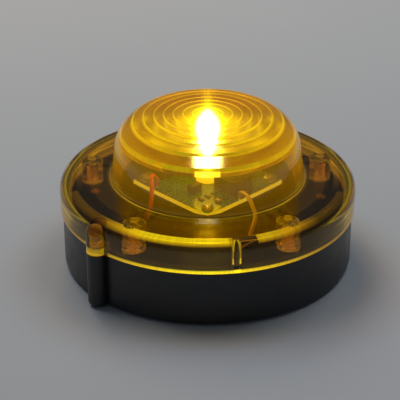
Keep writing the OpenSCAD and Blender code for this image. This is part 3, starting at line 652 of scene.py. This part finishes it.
# Lens: one amber polycarbonate moulding, clear and polished outside. Its wall steps down to a flange and a
# skirt, rings inside the dome's cap bend the lamp's light sideways, and five posts take the deck's screws.
lens_low, lens_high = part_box("lens")
LENS_R = 50 * MM
LENS_WALL = 2.6 * MM
LENS_Z = lens_low.z
LENS_TOP = lens_high.z
FLANGE_Z = LENS_Z + 10.9 * MM
FLANGE_UNDER = FLANGE_Z - 2.4 * MM
SHOULDER_R = 4 * MM
FOOT_FILLET = 1.5 * MM
DOME_R = 32.6 * MM
DOME_WALL = 2.4 * MM
CORNER_R = 14.3 * MM
CAP_RISE = 0.5 * MM
corner_at = DOME_R - 1.05 * MM - CORNER_R
corner_z = LENS_TOP - CORNER_R - CAP_RISE
cap_r = (corner_at ** 2 + (CORNER_R + CAP_RISE) ** 2 - CORNER_R ** 2) / (2 * CAP_RISE)
cap_z = LENS_TOP - cap_r


def dome_height(r, wall):
    """Height of the dome's surface that lies a wall inside its outside, at a radius."""
    if r <= corner_at:
        return cap_z + math.sqrt((cap_r - wall) ** 2 - r ** 2)
    return corner_z + math.sqrt(max((CORNER_R - wall) ** 2 - (r - corner_at) ** 2, 0))


def arc(x, z, r, start, end, steps):
    turns = [math.radians(start + (end - start) * i / steps) for i in range(steps + 1)]
    return [(x + r * math.cos(t), z + r * math.sin(t)) for t in turns]


LIP_TOP = LENS_Z + 1.1 * MM
cap_angle = math.degrees(math.atan2(corner_z - cap_z, corner_at))
outside = [(LENS_R - 0.15 * MM, LENS_Z), (LENS_R, LENS_Z + 0.15 * MM), (LENS_R, LIP_TOP),
           (LENS_R, LIP_TOP + 0.2 * MM), (LENS_R, LENS_Z + 3 * MM)]
outside += arc(LENS_R - SHOULDER_R, FLANGE_Z - SHOULDER_R, SHOULDER_R, 0, 90, 14)
outside += [(40 * MM, FLANGE_Z)]
outside += arc(DOME_R + FOOT_FILLET, FLANGE_Z + FOOT_FILLET, FOOT_FILLET, 270, 180, 8)
outside += arc(corner_at, corner_z, CORNER_R, 0, cap_angle, 36)
outside += [(r * MM, dome_height(r * MM, 0)) for r in (15.8, 14.2, 12.6, 11, 9.5, 8, 6.5, 5, 3.5, 2, 1, 0)]

RINGS = [(1.6 + 3.2 * i, 0.3 + 0.11 * i) for i in range(8, -1, -1)]
RINGS_OUT = 28.4 * MM
ring_lead = math.degrees(math.acos((RINGS_OUT - corner_at) / (CORNER_R - DOME_WALL)))
LINE_LOW = LENS_Z + 4 * MM
LINE_HIGH = LENS_Z + 4.6 * MM
BAND_OUT = 44.5 * MM
BAND_IN = 42.5 * MM
cavity = [(LENS_R - LENS_WALL, LENS_Z - 1 * MM), (LENS_R - LENS_WALL, LINE_LOW),
          (LENS_R - LENS_WALL, LINE_HIGH)]
cavity += arc(LENS_R - LENS_WALL - 1.6 * MM, FLANGE_UNDER - 1.6 * MM, 1.6 * MM, 0, 90, 8)
cavity += [(BAND_OUT, FLANGE_UNDER), (BAND_IN, FLANGE_UNDER), (40 * MM, FLANGE_UNDER)]
cavity += arc(DOME_R - DOME_WALL + 1 * MM, FLANGE_UNDER + 1 * MM, 1 * MM, 270, 180, 6)
cavity += arc(corner_at, corner_z, CORNER_R - DOME_WALL, 0, ring_lead, 16)
RING_EDGE = 0.45 * MM
for ring_r, ring_step in RINGS:
    height = dome_height(ring_r * MM, DOME_WALL)
    before, low = cavity[-1], (ring_r * MM, height - ring_step * MM)
    share = RING_EDGE / (before[0] - low[0])
    cavity += [(low[0] + RING_EDGE, low[1] + share * (before[1] - low[1])), low, (low[0], height)]
cavity += [(0, dome_height(0, DOME_WALL) - 0.3 * MM)]


# The lens's solid: outside with its lug, less the cavity, with posts and key inside.
LUG_R = 3.4 * MM
LUG_BEARING = -45
LUG_LIT = LENS_Z + 2.2 * MM
LUG_DARK = LENS_Z + 3 * MM
lug_top = FLANGE_Z - 1 * MM
lens = turned("amber_lens", outside[::-1] + [(0, LENS_Z)], 256)
lug = turned("lug", [(0, lug_top)] + arc(0, lug_top - LUG_R, LUG_R, 90, 0, 10)[1:]
             + [(LUG_R, LUG_DARK), (LUG_R, LUG_LIT), (LUG_R, LENS_Z + 0.15 * MM),
                (LUG_R - 0.15 * MM, LENS_Z), (0, LENS_Z)], 48)
fused(lens, seated(lug, *at_bearing(LENS_R, LUG_BEARING)), "UNION")
fused(lens, turned("cavity", [(0, LENS_Z - 1 * MM)] + cavity, 256), "DIFFERENCE")

DECK_TOP = LENS_Z + 1 * MM
POSTS = [-34 + 72 * i for i in range(5)]
POST_AT = 41.5 * MM
post_outline = [(0, FLANGE_UNDER + 0.4 * MM), (3.75 * MM, FLANGE_UNDER + 0.4 * MM),
                (3.72 * MM, DECK_TOP + 1.6 * MM), (3.7 * MM, DECK_TOP),
                (1.25 * MM, DECK_TOP), (1.25 * MM, DECK_TOP + 6 * MM), (0, DECK_TOP + 6.6 * MM)]
for bearing in POSTS:
    fused(lens, seated(turned("post", post_outline, 40), *at_bearing(POST_AT, bearing)), "UNION")
KEY_BEARING = 11
key = turned("key", [(0, FLANGE_UNDER + 0.4 * MM), (1.5 * MM, FLANGE_UNDER + 0.4 * MM),
                     (1.5 * MM, LENS_Z + 0.4 * MM), (0, LENS_Z + 0.4 * MM)], 24)
fused(lens, seated(key, *at_bearing(LENS_R - LENS_WALL - 0.6 * MM, KEY_BEARING)), "UNION")
smooth_sharp(lens, 24)

# Painted glow: where the lamp's light shows in the plastic is painted into the lens as emission. The glare
# ahead of the axis, with a streak behind it, is shaped for the front view and stays with the lens. The rest
# lies on the rings, in the flange's inner corner, at the feet of the posts and along the lower lip.
def faded(value, low, high):
    """0 at low, 1 at high and beyond."""
    return min(1, max(0, (value - low) / (high - low)))


def lit(place, centre, normal):
    """Brightness of the painted amber glow at a corner of one of the lens's faces."""
    r = math.hypot(centre.x, centre.y)
    signed = math.degrees(math.atan2(centre.x, -centre.y))
    bearing = abs(signed)
    frontal = 0.5 + 0.5 * math.cos(math.radians(bearing))
    if centre.z < LIP_TOP + 0.1 * MM and LENS_R - LENS_WALL - 0.1 * MM < r < LENS_R + 0.2 * MM:
        return (0.08 + 0.52 * frontal ** 10) * (0.08 + 0.92 * faded(abs(signed - LUG_BEARING), 5, 6))
    if (centre.xy - Vector(at_bearing(LENS_R, LUG_BEARING))).length < LUG_R + 0.1 * MM and r > LENS_R:
        return 0.3 * faded(place.z, LUG_DARK, LUG_LIT)
    if r > 36 * MM:
        nearest = min((centre.xy - Vector(at_bearing(POST_AT, b))).length for b in POSTS)
        if nearest < 3.9 * MM and centre.z < FLANGE_UNDER - 0.1 * MM:
            return 0.2 if place.z < DECK_TOP + 0.1 * MM else 0.03
        if r < LENS_R - LENS_WALL + 0.2 * MM and place.z < FLANGE_UNDER + 0.2 * MM:
            if LINE_LOW - 0.1 * MM < centre.z < LINE_HIGH + 0.1 * MM:
                return 0.4 * faded(bearing, 55, 75)
            if r > BAND_OUT - 0.1 * MM and bearing < 75:
                front = (0.8 if signed < 14 else 0.6) * faded(place.z, FLANGE_UNDER - 0.7 * MM, FLANGE_UNDER)
                return front * faded(abs(signed - 14.5), 4.5, 6) * (1 - 0.9 * faded(bearing, 25, 50))
            flat = BAND_IN + 0.1 * MM < r < BAND_OUT - 0.1 * MM
            return 0.2 * faded(bearing, 75, 115) if flat else 0
        return 0
    if centre.z < FLANGE_Z + 1 * MM:
        return 0.03
    reach = math.hypot(place.x, place.y) / MM
    if centre.z > dome_height(min(r, DOME_R - 1.1 * MM), 0) - 0.3 * MM or r > DOME_R - 1.9 * MM:
        x, ahead = place.x / MM, -place.y / MM
        glare = 2.2 * math.exp(-((x / 4.6) ** 2 + ((ahead - 13) / 13) ** 2) ** 2)
        tail = 0.9 * math.exp(-(x / 2.4) ** 2) * faded(ahead, 18, 21) * faded(ahead, 30.5, 29)
        streak = 0.5 * math.exp(-(x / 1.8) ** 2) * faded(ahead, 4, 0) * faded(ahead, -27, -8)
        return glare + tail + streak + 0.25 * math.exp(-(reach / 7) ** 2)
    if r > RINGS_OUT - 0.1 * MM:
        return 0.1 + 0.18 * faded(place.z, FLANGE_Z, LENS_TOP - 6 * MM)
    plain = 0.2 + 0.8 * math.exp(-(reach / 7) ** 2)
    ring = min((r / MM - ring_r for ring_r, ring_step in RINGS if r / MM > ring_r - 0.05), default=9)
    return plain + 0.3 if ring < 0.45 or abs(normal.z) < 0.2 else plain


# Painted glow: each face corner stores its painted light colour, and its alpha marks the rough ring facets.
glow = lens.data.color_attributes.new("painted_lamp_glow", "FLOAT_COLOR", "CORNER")
for face in lens.data.polygons:
    for corner in face.loop_indices:
        spot = lens.data.vertices[lens.data.loops[corner].vertex_index].co
        value = lit(spot, face.center, face.normal)
        ringed = face.center.z > LENS_TOP - 9 * MM and math.hypot(spot.x, spot.y) < RINGS_OUT + 0.1 * MM
        across = min(math.hypot(*face.center.xy), corner_at + 13 * MM)
        outer = face.center.z > dome_height(across, 0) - 0.3 * MM
        glow.data[corner].color = (value, value * (0.56 + 0.42 * faded(value, 0.15, 0.9)),
                                   value * (0.01 + 0.9 * faded(value, 0.9, 1.9)), ringed and not outer)

amber, shader = start_material("amber_polycarbonate", IOR=1.48, Transmission_Weight=1.0)
haze = noise(amber, 90, 4)
thin = ramp(amber, haze, [(0.3, (0.76, 0.5, 0.014)), (0.7, (0.82, 0.55, 0.02))])
lug_axis = add(amber, "VectorMath", {0: place(amber, (1, 1, 0)), 1: (*at_bearing(LENS_R, LUG_BEARING), 0)},
               operation="DISTANCE").outputs["Value"]
solid = between(amber, lug_axis, LUG_R + 0.4 * MM, LUG_R - 0.2 * MM)
feed(amber, shader, "Base Color", mixed(amber, solid, thin, (0.3, 0.1, 0.008, 1)))
handled = noise(amber, 220, 7, 0.7)
moulded = add(amber, "MapRange", {"Value": handled, "From Min": 0.3, "From Max": 0.7,
                                  "To Min": 0.03, "To Max": 0.09}).outputs["Result"]
facets = add(amber, "VertexColor", {}, layer_name="painted_lamp_glow").outputs["Alpha"]
grained = add(amber, "Math", {0: facets, 1: 0.12, 2: moulded}, operation="MULTIPLY_ADD").outputs["Value"]
feed(amber, shader, "Roughness", grained)
raise_bumps(amber, shader, noise(amber, 130, 3), 0.00004, 0.4)
light = add(amber, "VertexColor", {}, layer_name="painted_lamp_glow").outputs["Color"]
round_axis = add(amber, "SeparateXYZ", {"Vector": place(amber)})
turn = add(amber, "Math", {0: round_axis.outputs["Y"], 1: round_axis.outputs["X"]}, operation="ARCTAN2")
spokes = add(amber, "CombineXYZ", {"X": turn.outputs["Value"]}).outputs["Vector"]
streaks = ramp(amber, noise(amber, 34, 4, 0.7, spokes), [(0.3, 0.68), (0.7, 1.15)])
# Painted glow: the colours painted on the lens's corners, broken into radial streaks, become its emission.
feed(amber, shader, "Emission Color", mixed(amber, 1.0, light, streaks, "MULTIPLY"))
shader.inputs["Emission Strength"].default_value = 1.0
path = add(amber, "LightPath", {}).outputs["Is Shadow Ray"]
clear = add(amber, "BsdfTransparent", {"Color": (0.8, 0.55, 0.05, 1)}).outputs["BSDF"]
both = add(amber, "MixShader", {0: path, 1: shader.outputs["BSDF"], 2: clear}).outputs["Shader"]
amber.node_tree.links.new(both, amber.node_tree.nodes["Material Output"].inputs["Surface"])
lens.data.materials.append(amber)
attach(lens, "lens_unit")
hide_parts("lens")


# Floor and light: a plain pale floor under a soft studio sky, with two broad lamps high behind the flare and
# a smaller warm one lower down behind it.
floor = turned("floor", [(0, 0), (3, 0)], 64)
paper, shader = start_material("pale_floor", Roughness=0.7)
feed(paper, shader, "Base Color", ramp(paper, noise(paper, 3, 3), [(0.3, (0.5, 0.52, 0.55)),
                                                                  (0.7, (0.53, 0.55, 0.58))]))
floor.data.materials.append(paper)

sky = bpy.data.worlds.new("studio")
sky.use_nodes = True
sky.node_tree.nodes["Background"].inputs["Color"].default_value = (0.68, 0.8, 0.95, 1)
sky.node_tree.nodes["Background"].inputs["Strength"].default_value = 0.1
bpy.context.scene.world = sky
bpy.context.scene.view_settings.view_transform = "Standard"


def soft_lamp(name, place, size, power, colour):
    made = bpy.data.objects.new(name, bpy.data.lights.new(name, "AREA"))
    made.data.size = size
    made.data.energy = power
    made.data.color = colour
    made.location = place
    made.visible_glossy = False
    made.visible_transmission = False
    made.rotation_euler = (-Vector(place)).to_track_quat("-Z", "Y").to_euler()
    bpy.context.scene.collection.objects.link(made)


soft_lamp("left_lamp", (-0.45, 0.4, 1.0), 0.6, 3.6, (0.9, 0.96, 1))
soft_lamp("right_lamp", (0.45, 0.4, 1.0), 0.6, 2.8, (0.9, 0.96, 1))
soft_lamp("back_lamp", (-0.15, 0.5, 0.5), 0.3, 1.3, (1, 0.76, 0.5))
